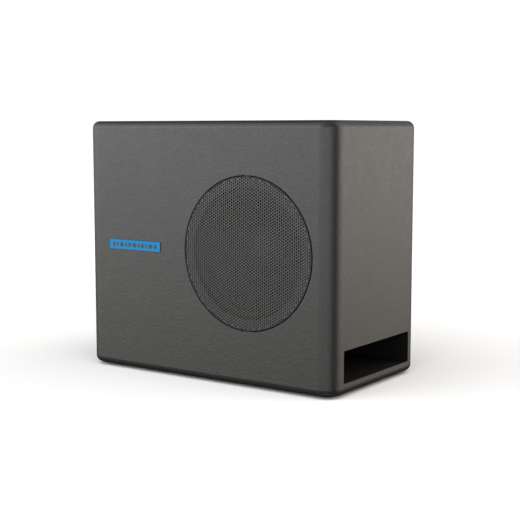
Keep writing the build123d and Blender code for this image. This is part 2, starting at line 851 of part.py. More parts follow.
def shaft(at):
    """Potentiometer's shaft, from inside its body into the knob."""
    foot = board_depth - pot_height + shaft_in_body
    return tray_rod(at, shaft_radius, floor_depth - knob_gap - shaft_in_knob, foot)


def potentiometer(at):
    """Potentiometer's body on the circuit board, with a blind bore for its shaft."""
    start = board_depth - pot_height
    body = on_tray(at, pot_size, pot_size, start, board_depth)
    return body - tray_rod(at, shaft_radius + running_gap, start - past, start + shaft_in_body + bore_end)


def phase_slider():
    return on_tray(phase_at, slider_size, slider_size, floor_depth - slider_reach, floor_inner + slider_reach)


def phase_switch():
    """Body of the phase switch on the circuit board, with the slider's channel."""
    start = floor_inner + switch_gap
    body = on_tray(phase_middle(), switch_width, switch_height, start, board_depth)
    return body - phase_channel(start - past, floor_inner + slider_reach + slider_gap)


def sockets():
    """Phono sockets, remote socket and speaker-level socket."""
    shells, cores = [], []
    for at in phono_at:
        shell = tray_rod(at, phono_radius, floor_depth - phono_length, floor_depth)
        shell += tray_rod(at, phono_collar, floor_depth - phono_collar_thickness, floor_depth)
        mouth = floor_depth - phono_length
        shells.append(shell - tray_rod(at, phono_bore, mouth - past, floor_depth + past))
        core = tray_rod(at, phono_bore, mouth + core_sink, board_depth)
        cores.append(core - tray_rod(at, phono_pin_bore, mouth, floor_depth + core_end))
    face_depth = floor_depth - remote_reach
    remote = on_tray(remote_at, remote_width, remote_height, face_depth, board_depth)
    remote -= on_tray(
        remote_at,
        remote_width - 2 * remote_wall,
        remote_height - 4 * remote_wall,
        face_depth - past,
        face_depth + remote_socket_depth,
    )
    lip = floor_depth - speaker_reach
    speaker = on_tray(speaker_at, speaker_width, speaker_height, lip, floor_depth)
    inner_width, inner_height = speaker_width - 2 * speaker_wall, speaker_height - 2 * speaker_wall
    speaker -= on_tray(speaker_at, inner_width, inner_height, lip - past, floor_depth - speaker_wall)
    pins = []
    for i in range(speaker_pins):
        x = speaker_at[0] + (i - (speaker_pins - 1) / 2) * speaker_pin_pitch
        tip = floor_depth - speaker_wall - speaker_pin_reach
        pins.append(on_tray((x, speaker_at[1]), speaker_pin_size, speaker_pin_size, tip, board_depth))
    return {
        "phono_shells": group(shells),
        "phono_cores": group(cores),
        "remote_socket": remote,
        "speaker_socket": speaker - pins,
        "speaker_pins": group(pins),
    }


def power_terminals():
    """Power block with clamps and set screws, and a blade fuse at its inner end."""
    middle_x = power_right - power_width / 2
    lip = floor_depth - power_reach
    body = on_tray((middle_x, power_at_z), power_width, power_height, lip, floor_depth)
    clamps, screws = [], []
    shank = small_screw[0]
    z = axis_z + power_at_z
    head_z = z + power_height / 2 - head_sink
    for i in range(clamp_count):
        at = (power_right - clamp_first - i * clamp_pitch, power_at_z)
        back = lip + clamp_cap + clamp_size - clamp_short
        clamp = on_tray(at, clamp_size, clamp_size, lip + clamp_cap, back)
        body -= clamp
        body -= tray_rod(at, wire_entry, lip - past, lip + clamp_cap)
        middle_y = rear((lip + clamp_cap + back) / 2)
        well = Cylinder(small_screw[1] + sink_clear, power_height / 2)
        body -= Pos(at[0], middle_y, z + power_height / 2) * well
        clamp -= tray_rod(at, clamp_bore, lip, back + past)
        clamp -= Pos(at[0], middle_y, z + clamp_size / 2) * Cylinder(shank, clamp_size - 2 * clamp_bore)
        clamps.append(clamp)
        length = head_z - z - clamp_bore
        screws.append(Pos(at[0], middle_y, head_z) * set_screw(length))
    fuse_at = (middle_x - power_width / 2 + fuse_from_end, power_at_z)
    seat = lip - fuse_proud + fuse_body
    socket_width, socket_height = fuse_width + 2 * fuse_gap, fuse_height + 2 * fuse_gap
    body -= on_tray(fuse_at, socket_width, socket_height, lip - past, seat + fuse_gap)
    blades = []
    for side in (-1, 1):
        at = (fuse_at[0], fuse_at[1] + side * blade_spread)
        blades.append(on_tray(at, blade_thickness, blade_width, seat, seat + blade_length))
        body -= on_tray(
            at, blade_thickness + 2 * blade_gap, blade_width + 2 * blade_gap, seat, floor_depth
        )
    return {
        "power_block": body,
        "power_clamps": group(clamps),
        "clamp_screws": group(screws),
        "fuse_body": on_tray(fuse_at, fuse_width, fuse_height, lip - fuse_proud, seat),
        "fuse_blades": group(blades),
    }


def set_screw(length):
    """Slotted cheese-head screw hanging down from Z 0, head included."""
    shank, head, height = small_screw
    body = Pos(0, 0, -length / 2) * Cylinder(shank, length) + Pos(0, 0, -height / 2) * Cylinder(head, height)
    return body - Box(2 * (head + past), slot_width, 2 * slot_depth)


def amplifier():
    nodes = {
        "amp_tray": tray(),
        "amp_cover": amp_cover(),
        "amp_gasket": slab(
            0, axis_z, tray_width, tray_height, tray_corner, rear(flange_inner + cover_sheet), rear(tray_seat)
        )
        - cover_cutout(rear(0), inner_rear)
        - list(tray_bores(wood_screw[0])),
        "tray_screws": group(place * screw(wood_screw, tray_screw_length) for place in tray_screw_places()),
        "heatsink": heatsink(),
        "lead_grommet": grommet(),
        "level_knob": knob(level_at),
        "level_shaft": shaft(level_at),
        "crossover_knob": knob(crossover_at),
        "crossover_shaft": shaft(crossover_at),
        "potentiometers": group(potentiometer(at) for at in (level_at, crossover_at)),
        "phase_slider": phase_slider(),
        "phase_switch": phase_switch(),
        "power_lamp": tray_rod(lamp_at, lamp_radius, floor_depth - lamp_reach, board_depth),
    }
    nodes.update(circuit())
    nodes.update(sockets())
    nodes.update(power_terminals())
    return nodes


os.makedirs("parts", exist_ok=True)
nodes = {}
for make in (cabinet, grille, woofer, amplifier):
    nodes.update(make())
for name, shape in nodes.items():
    export_step(shape, f"parts/{name}.step")
print(len(nodes), "nodes")
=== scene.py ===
import json
from math import ceil, cos, pi, radians, sin, sqrt, tau

import bpy
import numpy as np
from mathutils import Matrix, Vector
from mathutils.geometry import delaunay_2d_cdt


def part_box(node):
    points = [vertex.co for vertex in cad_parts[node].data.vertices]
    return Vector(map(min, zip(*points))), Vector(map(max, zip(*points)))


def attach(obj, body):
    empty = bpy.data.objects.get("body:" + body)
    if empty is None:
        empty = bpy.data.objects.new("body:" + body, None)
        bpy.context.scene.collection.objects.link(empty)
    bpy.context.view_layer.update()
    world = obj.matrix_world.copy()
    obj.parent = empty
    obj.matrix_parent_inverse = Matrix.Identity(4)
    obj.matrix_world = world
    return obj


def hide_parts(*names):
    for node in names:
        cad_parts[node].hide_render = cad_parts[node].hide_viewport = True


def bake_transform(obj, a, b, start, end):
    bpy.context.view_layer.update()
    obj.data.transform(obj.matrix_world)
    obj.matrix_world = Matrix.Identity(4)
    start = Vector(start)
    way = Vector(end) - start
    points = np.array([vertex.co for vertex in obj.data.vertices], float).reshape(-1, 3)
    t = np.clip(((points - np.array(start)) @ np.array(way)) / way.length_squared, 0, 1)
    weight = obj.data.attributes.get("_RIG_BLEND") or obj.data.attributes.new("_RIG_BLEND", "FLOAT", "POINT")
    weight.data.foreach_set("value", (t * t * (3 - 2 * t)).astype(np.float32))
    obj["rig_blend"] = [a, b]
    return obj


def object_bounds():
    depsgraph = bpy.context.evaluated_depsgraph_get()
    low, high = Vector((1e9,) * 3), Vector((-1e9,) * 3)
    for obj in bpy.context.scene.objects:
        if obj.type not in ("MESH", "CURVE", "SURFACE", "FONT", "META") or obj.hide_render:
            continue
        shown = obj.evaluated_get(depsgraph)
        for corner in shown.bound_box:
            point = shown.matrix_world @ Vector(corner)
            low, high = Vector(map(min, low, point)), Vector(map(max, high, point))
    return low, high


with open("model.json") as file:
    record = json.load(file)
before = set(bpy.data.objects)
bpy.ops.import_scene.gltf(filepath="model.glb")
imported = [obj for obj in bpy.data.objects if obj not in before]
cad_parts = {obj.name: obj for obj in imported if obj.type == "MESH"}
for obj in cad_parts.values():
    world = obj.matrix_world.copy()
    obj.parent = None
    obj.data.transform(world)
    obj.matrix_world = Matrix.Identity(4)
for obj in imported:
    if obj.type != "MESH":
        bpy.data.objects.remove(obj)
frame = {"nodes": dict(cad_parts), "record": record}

# Looks of a powered car subwoofer. Lengths are in metres, heights of relief too. The front faces -Y, +X
# is the side with the slot port, and the origin is on the floor under the middle of the cabinet.

MM = 0.001
cad_low, cad_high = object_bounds()
centre = (cad_low + cad_high) / 2
scene = bpy.context.scene


# ---- Camera ----
VIEW_TURN = radians(35.07)       # from straight ahead towards the port side
VIEW_DROP = radians(6.71)        # looking down
VIEW_DISTANCE = 1.5937
VIEW_SHIFT = (0.0141, -0.0205)   # aim, to the right of the cabinet's middle and above it
LENS, SENSOR = 77.31, 36.0       # millimetres
CLIP = (0.05, 50.0)


def make_camera():
    """A long lens that looks down a little on the front and the port side."""
    data = bpy.data.cameras.new("camera")
    camera = bpy.data.objects.new("camera", data)
    scene.collection.objects.link(camera)
    data.lens, data.sensor_width = LENS, SENSOR
    data.clip_start, data.clip_end = CLIP
    level = cos(VIEW_DROP)
    ahead = Vector((-sin(VIEW_TURN) * level, cos(VIEW_TURN) * level, -sin(VIEW_DROP)))
    right = Vector((cos(VIEW_TURN), sin(VIEW_TURN), 0))
    up = right.cross(ahead)
    camera.location = centre - ahead * VIEW_DISTANCE + right * VIEW_SHIFT[0] + up * VIEW_SHIFT[1]
    camera.rotation_euler = (pi / 2 - VIEW_DROP, 0, VIEW_TURN)
    scene.camera = camera


make_camera()


# ---- Materials ----
WAVE_SCALE = tau / 20            # of a wave texture, for one ridge to the metre


class Finish:
    """One material being built: a Principled shader, and the nodes that feed it."""

    def __init__(self, name, colour, roughness, metallic=0.0, **sockets):
        self.material = bpy.data.materials.new(name)
        self.material.use_nodes = True
        self.tree = self.material.node_tree
        self.shader = self.tree.nodes["Principled BSDF"]
        self.base = colour
        self.roughness = roughness
        self.set(self.shader, "Base Color", (*colour, 1))
        self.set(self.shader, "Roughness", roughness)
        self.set(self.shader, "Metallic", metallic)
        for key, value in sockets.items():
            self.set(self.shader, key.replace("_", " "), value)
        self.place = self.node("TexCoord").outputs["Object"]

    def set(self, node, socket, value):
        """Links an output to the socket, or sets it to a constant."""
        if isinstance(value, bpy.types.NodeSocket):
            self.tree.links.new(value, node.inputs[socket])
        else:
            node.inputs[socket].default_value = value

    def node(self, kind, settings=None, **inputs):
        """A node, with its settings, and its inputs by name, with _ for a space, or by place, as _0."""
        made = self.tree.nodes.new("ShaderNode" + kind)
        for key, value in (settings or {}).items():
            setattr(made, key, value)
        for key, value in inputs.items():
            self.set(made, int(key[1:]) if key[1:].isdigit() else key.replace("_", " "), value)
        return made

    def mapped(self, scale):
        """Object coordinates, scaled by a factor for each axis."""
        return self.node("Mapping", Vector=self.place, Scale=scale).outputs[0]

    def noise(self, cells, detail=4.0, where=None, rough=0.55):
        """Cloud noise with so many cells to the metre."""
        where = where or self.place
        made = self.node("TexNoise", Vector=where, Scale=cells, Detail=detail, Roughness=rough)
        return made.outputs["Fac"]

    def cells(self, per_metre, feature="F1", where=None, output="Distance", **more):
        """Voronoi cells, so many to the metre: a measure within each, or its own random colour."""
        where = where or self.place
        made = self.node("TexVoronoi", {"feature": feature}, Vector=where, Scale=per_metre, **more)
        return made.outputs[output]

    def waves(self, per_metre, direction):
        """Even ridges across X, Y or Z, so many to the metre."""
        scale = per_metre * WAVE_SCALE
        made = self.node("TexWave", {"bands_direction": direction}, Vector=self.place, Scale=scale)
        return made.outputs["Fac"]

    def math(self, operation, a, b=0.0):
        """Arithmetic on one or two values."""
        return self.node("Math", {"operation": operation}, _0=a, _1=b).outputs[0]

    def remap(self, value, low, high, to_low=0.0, to_high=1.0):
        """Straight run from one range to another, held at its ends."""
        made = self.node("MapRange", {"clamp": True}, Value=value)
        for key, number in (("From Min", low), ("From Max", high), ("To Min", to_low), ("To Max", to_high)):
            made.inputs[key].default_value = number
        return made.outputs[0]

    def blend(self, share, a, b):
        """Colour between a and b."""
        made = self.node("Mix", {"data_type": "RGBA"}, _0=share)
        self.set(made, 6, (*a, 1) if isinstance(a, tuple) else a)
        self.set(made, 7, (*b, 1) if isinstance(b, tuple) else b)
        return made.outputs[2]

    def axis(self, letter):
        """One of the object coordinates."""
        return self.node("SeparateXYZ", Vector=self.place).outputs[letter]

    def mottle(self, value, share):
        """Base colour that goes share darker and lighter with value."""
        dark = tuple(c * (1 - share) for c in self.base)
        light = tuple(min(1.0, c * (1 + share)) for c in self.base)
        self.set(self.shader, "Base Color", self.blend(value, dark, light))
        return self

    def shine(self, value, spread):
        """Roughness that wanders by spread about its value."""
        rough = self.remap(value, 0.3, 0.7, self.roughness - spread, self.roughness + spread)
        self.set(self.shader, "Roughness", rough)
        return self

    def relief(self, height, depth):
        """Bump of a height from 0 to 1 that stands for depth metres. A second call adds to the first."""
        before = [link.from_socket for link in self.shader.inputs["Normal"].links]
        made = self.node("Bump", Height=height, Distance=depth, Strength=1.0)
        if before:
            self.set(made, "Normal", before[0])
        self.set(self.shader, "Normal", made.outputs[0])
        return self


def moulded(name, colour, roughness=0.5, spark=0.00004, cells=1600, **sockets):
    """Moulded plastic or rubber: fine spark texture, slight wandering of tone and shine."""
    f = Finish(name, colour, roughness, **sockets)
    f.mottle(f.noise(60, 3), 0.06)
    f.shine(f.noise(140, 4), 0.05)
    return f.relief(f.noise(cells, 2), spark)


def coated(name, colour, roughness=0.45, peel=0.00006, cells=700):
    """Powder coat on steel: orange peel."""
    f = Finish(name, colour, roughness)
    f.mottle(f.noise(90, 3), 0.08)
    f.shine(f.noise(220, 3), 0.05)
    return f.relief(f.noise(cells, 3), peel)


def plated(name, colour, roughness=0.3, brush="X", streaks=0.12):
    """Plated or drawn metal, with fine streaks along one axis."""
    f = Finish(name, colour, roughness, metallic=1.0)
    along = {"X": (30, 1800, 1800), "Y": (1800, 30, 1800), "Z": (1800, 1800, 30)}[brush]
    lines = f.noise(1.0, 3, f.mapped(along))
    f.mottle(f.noise(45, 4), 0.08)
    f.shine(lines, streaks)
    return f.relief(lines, 0.00001)


def leather_vinyl():
    """Matt vinyl with a fine leather grain: small creased cells, pushed about by noise, in soft ones."""
    f = Finish("vinyl", (0.0155, 0.0155, 0.0153), 0.32)
    soft = f.node("TexNoise", Vector=f.place, Scale=260.0, Detail=2.0)
    push = f.node("VectorMath", {"operation": "SCALE"}, _0=soft.outputs["Color"], Scale=2.2 * MM)
    pushed = f.node("VectorMath", {"operation": "ADD"}, _0=f.place, _1=push.outputs[0])
    grain = f.cells(620, "DISTANCE_TO_EDGE", pushed.outputs[0])
    creases = f.remap(grain, 0.0, 0.22)
    pebbles = f.noise(900, 3)
    broad = f.noise(75, 4)
    f.mottle(f.noise(38, 5), 0.12)
    f.shine(broad, 0.03)
    f.relief(creases, 0.00005)
    f.relief(pebbles, 0.00006)
    f.relief(f.noise(280, 3), 0.00020)
    return f.relief(broad, 0.0001)


PAINT_PAST = 0.5 * MM            # past the shelf's ends
PAINT_SHORT = 1.0 * MM           # below the shelf's top


def painted_board():
    """Fibreboard, raw inside. It is sprayed matt black below the port's shelf, and in front of and behind it,
    where the grille's hole and the amplifier's recess are. The spray is darker than black paint, so it is partly
    painted shade in the port and the recesses."""
    f = Finish("board", (0.004, 0.004, 0.004), 0.75, Specular_IOR_Level=0.2)
    fibres = f.noise(900, 4, f.mapped((1, 1, 1.6)))
    raw = f.blend(fibres, (0.30, 0.20, 0.11), (0.46, 0.33, 0.19))
    low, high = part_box("port_shelf")
    depth = f.math("ABSOLUTE", f.math("SUBTRACT", f.axis("Y"), (low.y + high.y) / 2))
    outer = f.math("GREATER_THAN", depth, (high.y - low.y) / 2 + PAINT_PAST)
    port = f.math("LESS_THAN", f.axis("Z"), high.z - PAINT_SHORT)
    spray_shade_share = f.math("MAXIMUM", outer, port)
    # black spray, darker than paint: partly painted shade inside the port and the recesses
    spray_shade_colour = f.blend(f.noise(1400, 2), (0.003, 0.003, 0.003), (0.006, 0.006, 0.0058))
    f.set(f.shader, "Base Color", f.blend(spray_shade_share, raw, spray_shade_colour))
    return f.relief(fibres, 0.00012)


def woven(name, dark, light, per_metre, roughness=0.8, depth=0.0002):
    """Plain weave: two sets of ridges at right angles."""
    f = Finish(name, dark, roughness)
    weave = f.math("MULTIPLY", f.waves(per_metre, "X"), f.waves(per_metre, "Z"))
    f.set(f.shader, "Base Color", f.blend(f.noise(120, 3), dark, light))
    return f.relief(weave, depth)


RIM_SHADE_FADE = (3.2 * MM, 1.2 * MM)  # inside the edge, from the plain coat to the painted rim shade


def grille_coat():
    """Satin powder coat on the perforated steel, duller at the rim, where its colour goes dark as painted shade
    along the gap round the grille.
    """
    f = Finish("grille_steel", (0.052, 0.052, 0.051), 0.36)
    low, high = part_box("grille_mesh")
    x = f.math("SUBTRACT", f.axis("X"), (low.x + high.x) / 2)
    z = f.math("SUBTRACT", f.axis("Z"), (low.z + high.z) / 2)
    radius = f.math("SQRT", f.math("ADD", f.math("MULTIPLY", x, x), f.math("MULTIPLY", z, z)))
    edge = (high.x - low.x) / 2
    rim = f.remap(radius, edge - RIM_SHADE_FADE[0], edge - RIM_SHADE_FADE[1])
    tone = f.blend(f.noise(90, 3), (0.047, 0.047, 0.046), (0.057, 0.057, 0.056))
    # painted shade: the coat's colour goes near black towards the rim
    f.set(f.shader, "Base Color", f.blend(rim, tone, (0.010, 0.010, 0.010)))
    f.set(f.shader, "Roughness", f.remap(rim, 0.0, 1.0, 0.36, 0.62))
    return f.relief(f.noise(1500, 3), 0.00003)


def pressed_fibre():
    """Paper pulp with a black coat: short fibres that lie every way."""
    f = Finish("cone_fibre", (0.03, 0.03, 0.031), 0.65)
    fibres = f.noise(700, 6, rough=0.7)
    f.mottle(fibres, 0.35)
    return f.relief(fibres, 0.00012)


def wire_wound(name, colour, per_metre, direction):
    """Enamelled wire."""
    f = Finish(name, colour, 0.28, metallic=1.0, Coat_Weight=0.6, Coat_Roughness=0.15)
    f.mottle(f.noise(300, 3), 0.12)
    return f.relief(f.waves(per_metre, direction), 0.00005)


def galvanised():
    """Zinc spangle: flat crystals of slightly different tone and shine."""
    f = Finish("cover_steel", (0.52, 0.53, 0.55), 0.42, metallic=1.0)
    tone = f.node("SeparateColor", Color=f.cells(130.0, output="Color")).outputs[0]
    f.mottle(tone, 0.14)
    f.set(f.shader, "Roughness", f.remap(tone, 0.0, 1.0, 0.32, 0.52))
    return f.relief(f.noise(400, 2), 0.00002)


def solder_mask():
    """Green circuit board, with darker tracks showing through the mask."""
    f = Finish("circuit_green", (0.015, 0.11, 0.045), 0.3)
    tracks = f.cells(150, where=f.mapped((1, 0, 0.6)), Randomness=0.55)
    lines = f.math("GREATER_THAN", f.math("SINE", f.math("MULTIPLY", tracks, 60.0)), 0.35)
    f.set(f.shader, "Base Color", f.blend(lines, (0.012, 0.085, 0.035), (0.03, 0.17, 0.07)))
    return f.relief(lines, 0.00003)


def sintered():
    """Ferrite: dark, finely pitted, dusty."""
    f = Finish("ferrite", (0.055, 0.055, 0.058), 0.6)
    f.mottle(f.noise(200, 5), 0.25)
    return f.relief(f.cells(900), 0.00005)


def lens(name, colour):
    """Clear tinted plastic."""
    f = Finish(name, colour, 0.15, Transmission_Weight=0.5, IOR=1.49)
    f.shine(f.noise(400, 2), 0.04)
    return f.relief(f.noise(600, 2), 0.00001)


def badge_lacquer():
    """Blue satin lacquer with a faint metallic fleck."""
    f = Finish("badge_blue", (0.003, 0.218, 0.514), 0.42, Specular_IOR_Level=0.15)
    f.mottle(f.noise(900, 2), 0.05)
    f.shine(f.noise(120, 3), 0.04)
    return f.relief(f.noise(500, 2), 0.00001)


FINISHES = {
    "vinyl": leather_vinyl(),
    "board": painted_board(),
    "rubber": moulded("rubber", (0.022, 0.022, 0.023), 0.72, 0.00003, 1200),
    "screw_black": coated("screw_black", (0.03, 0.03, 0.031), 0.38, 0.00002, 1500),
    "grille_steel": grille_coat(),
    "frame_steel": coated("frame_steel", (0.02, 0.02, 0.021), 0.4),
    # darker than black plastic: partly painted shade for the gap round the grille
    "hoop_plastic": moulded("hoop_plastic", (0.014, 0.014, 0.014), 0.6),
    "badge_blue": badge_lacquer(),
    "cone_fibre": pressed_fibre(),
    "spider_cloth": woven("spider_cloth", (0.42, 0.27, 0.09), (0.58, 0.42, 0.18), 900),
    "former_foil": plated("former_foil", (0.72, 0.73, 0.75), 0.3, "Y"),
    "copper": wire_wound("copper", (0.72, 0.28, 0.11), 2000, "Y"),
    "plate_steel": plated("plate_steel", (0.56, 0.56, 0.58), 0.35, "X"),
    "ferrite": sintered(),
    "brass": plated("brass", (0.78, 0.57, 0.25), 0.28, "Y"),
    "tray_metal": coated("tray_metal", (0.026, 0.026, 0.028), 0.55, 0.00015, 1100),
    "sink_metal": plated("sink_metal", (0.05, 0.05, 0.053), 0.42, "Z"),
    "cover_steel": galvanised(),
    "circuit_green": solder_mask(),
    "capacitor_sleeve": moulded("capacitor_sleeve", (0.012, 0.014, 0.03), 0.25, 0.00001, 500),
    "choke": wire_wound("choke", (0.70, 0.27, 0.10), 900, "Z"),
    "plastic_black": moulded("plastic_black", (0.022, 0.022, 0.023), 0.48),
    "nickel": plated("nickel", (0.72, 0.70, 0.66), 0.2, "Y", 0.06),
    "phono_plastic": moulded("phono_plastic", (0.62, 0.62, 0.60), 0.42),
    "fuse_plastic": lens("fuse_plastic", (0.06, 0.22, 0.75)),
    "lamp": lens("lamp", (0.04, 0.16, 0.80)),
    "lead_red": moulded("lead_red", (0.42, 0.012, 0.012), 0.42, 0.00002, 700),
    "lead_black": moulded("lead_black", (0.018, 0.018, 0.019), 0.42, 0.00002, 700),
    "tinsel": wire_wound("tinsel", (0.75, 0.45, 0.24), 2600, "Z"),
    "laminate": moulded("laminate", (0.22, 0.11, 0.045), 0.5),
    "sink_bare": plated("sink_bare", (0.66, 0.66, 0.67), 0.34, "X"),
    "print_white": moulded("print_white", (0.62, 0.62, 0.60), 0.6, 0.00001, 2000),
}

for row in frame["record"]["subparts"]:
    mesh = frame["nodes"][row["node"]].data
    mesh.materials.clear()
    mesh.materials.append(FINISHES[row["material_slot"]].material)


# ---- Shapes ----
def outward(points, faces):
    """Faces turned so that the volume they close, summed as tetrahedra from the origin, is positive."""
    total = 0.0
    for group in faces:
        group = np.atleast_2d(group)
        for i in range(1, group.shape[1] - 1):
            a, b, c = points[group[:, 0]], points[group[:, i]], points[group[:, i + 1]]
            total += np.einsum("ij,ij->", a, np.cross(b, c))
    return faces if total > 0 else [np.atleast_2d(group)[:, ::-1] for group in faces]


def mesh_object(name, points, faces, finish, body=None, slot=None, stands_for=(), smooth=True):
    """A piece from its points and groups of faces, riding on a body and standing for CAD nodes. One that
    does either is closed, so its faces are turned outwards."""
    points = np.asarray(points, float)
    groups = [np.atleast_2d(group) for group in faces]
    if body or stands_for:
        groups = outward(points - points.mean(0), groups)
    mesh = bpy.data.meshes.new(name)
    mesh.from_pydata(points.tolist(), [], [face for group in groups for face in group.tolist()])
    mesh.polygons.foreach_set("use_smooth", np.full(len(mesh.polygons), smooth))
    mesh.update()
    made = bpy.data.objects.new(name, mesh)
    scene.collection.objects.link(made)
    mesh.materials.append(finish.material)
    if body:
        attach(made, body)
    if stands_for:
        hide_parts(*stands_for)
    return made


def lattice(rows, columns, close_rows=False, first=0):
    """Quads between neighbours of a rows x columns grid of points. The columns go round, and so do the
    rows where closed."""
    i, j = np.meshgrid(np.arange(rows if close_rows else rows - 1), np.arange(columns), indexing="ij")
    i, j = i.ravel(), j.ravel()
    here, ahead, beside = i * columns, (i + 1) % rows * columns, (j + 1) % columns
    return first + np.stack([here + j, here + beside, ahead + beside, ahead + j], -1)


def turned(profile, x, z, steps=144):
    """Points of a (radius, y) profile carried round an axis along Y through (x, z)."""
    profile = np.asarray(profile, float)
    turn = tau * np.arange(steps) / steps
    radius, y = profile[:, 0, None], np.broadcast_to(profile[:, 1, None], (len(profile), steps))
    return np.stack([x + radius * np.cos(turn), y, z + radius * np.sin(turn)], -1).reshape(-1, 3)


def turned_piece(name, profile, x, z, finish, steps=144, **more):
    """Solid of revolution of a closed (radius, y) profile."""
    return mesh_object(
        name, turned(profile, x, z, steps), [lattice(len(profile), steps, close_rows=True)], finish,
        **more,
    )


STEADY = (0.36, 0.48, 0.80)      # that no path here runs along


def tube(path, radius, sides=8, ring=False):
    """Points of a round tube: a circle in the plane square to the path at each of its points. The circle
    starts square to one steady direction, so it doesn't twist. A ring's last point is beside its first."""
    path = np.asarray(path, float)
    if ring:
        along = np.roll(path, -1, 0) - np.roll(path, 1, 0)
    else:
        along = np.gradient(path, axis=0)
    along /= np.linalg.norm(along, axis=1, keepdims=True)
    aside = np.cross(along, STEADY)
    aside /= np.linalg.norm(aside, axis=1, keepdims=True)
    square = np.cross(along, aside)
    turn = tau * np.arange(sides) / sides
    around = aside[:, None] * np.cos(turn)[:, None] + square[:, None] * np.sin(turn)[:, None]
    return (path[:, None] + radius * around).reshape(-1, 3)


BAR_STEPS = 7                    # points on each round end


def bars(name, rows, face_y, proud, finish, body, slot, out=-1):
    """Flat bars with round ends, raised from a plane of constant Y, forwards or, where out is 1, backwards.
    A row holds the middle's X and Z, the turn from X, the length and the width. Each outline is two half
    circles; a wall and two caps close it."""
    rows = np.asarray(rows, float)
    half = np.pi * np.arange(BAR_STEPS) / (BAR_STEPS - 1) - np.pi / 2
    arc = np.stack([np.cos(half), np.sin(half)], -1)
    arc = np.concatenate([arc, -arc])
    shift = np.repeat([1.0, -1.0], BAR_STEPS)[:, None] * [1.0, 0.0]
    x, z, turn, length, width = rows.T[:, :, None]
    outline = arc[None] * width[..., None] / 2 + shift[None] * (length - width)[..., None] / 2
    flat_x = x + outline[..., 0] * np.cos(turn) - outline[..., 1] * np.sin(turn)
    flat_z = z + outline[..., 0] * np.sin(turn) + outline[..., 1] * np.cos(turn)
    count = outline.shape[1]
    points = np.concatenate([
        np.stack([flat_x, np.full_like(flat_x, y), flat_z], -1).reshape(-1, 3)
        for y in (face_y, face_y + out * proud)
    ])
    total = len(rows) * count
    start = count * np.arange(len(rows))[:, None]
    a, b = start + np.arange(count), start + (np.arange(count) + 1) % count
    walls = np.stack([a, b, b + total, a + total], -1).reshape(-1, 4)
    caps = [a[:, ::-1], a + total]
    return mesh_object(name, points, [walls, *caps], finish, body, slot, smooth=False)


# ---- Grille: a disc of perforated steel ----
HOLE_PITCH = 3.8 * MM
HOLE_RADIUS = 1.60 * MM
HOLE_CORNERS = 8
BLANK_RIM = 0.3 * MM             # without holes
RIM_STEPS = 240
MERGE = 1e-7                     # points nearer than this are one


def perforated_disc():
    """Round sheet with staggered holes in upright columns. Loops are circles of corners about each
    lattice point; both faces share one triangulation of the plane, and walls join the loops."""
    low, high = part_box("grille_mesh")
    radius = (high.x - low.x) / 2
    x, z = (low.x + high.x) / 2, (low.z + high.z) / 2
    column = HOLE_PITCH * sqrt(3) / 2
    reach = ceil(radius / column)
    i, j = np.meshgrid(np.arange(-reach, reach + 1), np.arange(-reach, reach + 1), indexing="ij")
    spots = np.stack([i * column, (j + 0.5 * (i % 2)) * HOLE_PITCH], -1).reshape(-1, 2)
    spots = spots[np.hypot(*spots.T) < radius - BLANK_RIM - HOLE_RADIUS]
    corners = tau * (np.arange(HOLE_CORNERS) + 0.5) / HOLE_CORNERS
    hole = HOLE_RADIUS * np.stack([np.cos(corners), np.sin(corners)], -1)
    rim_turns = tau * np.arange(RIM_STEPS) / RIM_STEPS
    rim = radius * np.stack([np.cos(rim_turns), np.sin(rim_turns)], -1)
    flat = np.concatenate([rim, (spots[:, None] + hole).reshape(-1, 2)])
    starts = RIM_STEPS + HOLE_CORNERS * np.arange(len(spots))
    loops = [list(range(RIM_STEPS))] + [list(range(s, s + HOLE_CORNERS)) for s in starts]
    tris = np.array(delaunay_2d_cdt([Vector(p) for p in flat.tolist()], [], loops, 0, MERGE)[2])
    count = len(flat)
    owner = (np.arange(count) - RIM_STEPS) // HOLE_CORNERS
    owner[:RIM_STEPS] = -1
    own = owner[tris]
    in_hole = (own[:, 0] >= 0) & (own[:, 0] == own[:, 1]) & (own[:, 1] == own[:, 2])
    tris = tris[~in_hole]
    front = np.stack([x + flat[:, 0], np.full(count, low.y), z + flat[:, 1]], -1)
    back = front + (0, high.y - low.y, 0)
    turn = np.arange(RIM_STEPS)
    rim_wall = np.stack([turn, turn + count, np.roll(turn, -1) + count, np.roll(turn, -1)], -1)
    corner = np.arange(HOLE_CORNERS)
    a = (starts[:, None] + corner).ravel()
    b = (starts[:, None] + (corner + 1) % HOLE_CORNERS).ravel()
    hole_wall = np.stack([a, b, b + count, a + count], -1)
    walls = np.concatenate([rim_wall, hole_wall])
    split = np.concatenate([walls[:, [0, 1, 2]], walls[:, [0, 2, 3]]])
    faces = np.concatenate([tris, tris[:, ::-1] + count, split])
    return mesh_object(
        "grille_perforated", np.concatenate([front, back]), [faces], FINISHES["grille_steel"],
        "cabinet", "grille_steel", ["grille_mesh"], smooth=False,
    )


perforated_disc()


# ---- Badge: a lacquered plate in a thin dark edge, with plain bars ----
BADGE_EDGE = 0.55 * MM           # width of the dark edge
BADGE_STEP = 0.15 * MM           # face behind the edge's front
BADGE_BEVEL = 0.12 * MM
BADGE_CORNER = 1.0 * MM
BADGE_CORNER_LEAST = 0.2 * MM
BADGE_CORNER_STEPS = 6
BAR_HEIGHT = 0.44                # of the plate's height
BAR_WIDTHS = (5.2, 3.0, 7.4, 3.0, 5.2, 7.4, 3.0, 5.2, 3.0, 7.4, 5.2)    # millimetres
BAR_SPAN = (0.07, 0.93)          # of the plate's width
BAR_PROUD = 0.08 * MM


